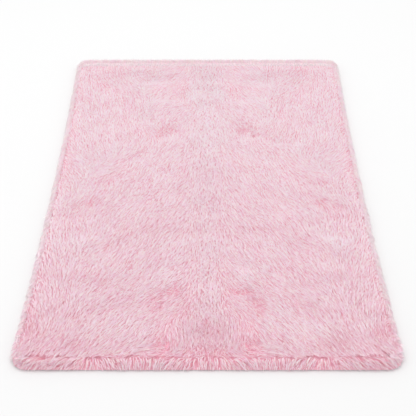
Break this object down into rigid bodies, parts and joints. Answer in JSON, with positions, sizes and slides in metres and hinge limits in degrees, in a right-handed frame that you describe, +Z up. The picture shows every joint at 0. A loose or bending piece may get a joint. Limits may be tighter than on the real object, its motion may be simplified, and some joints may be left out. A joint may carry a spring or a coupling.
{
  "type": "shag rug",
  "caption": "Rectangular long-pile shag rug with rounded corners, lying flat: a lumpy slab of combed pile with pointed locks round its rim.",
  "frame": {"origin": "centre of the rug's box, on the plane of the floor", "axes": "+Z up from the floor, +Y along the long side towards the back edge, +X to the right; the front edge, behind which the pile is parted in a furrow, faces -Y"},
  "size_m": [1.1992, 1.8076, 0.0327],
  "materials": {
    "pile": "long soft matt pile, pale pink with whitish tips"
  },
  "bodies": {
    "root": {"shag_rug": "pile"}
  },
  "joints": []
}
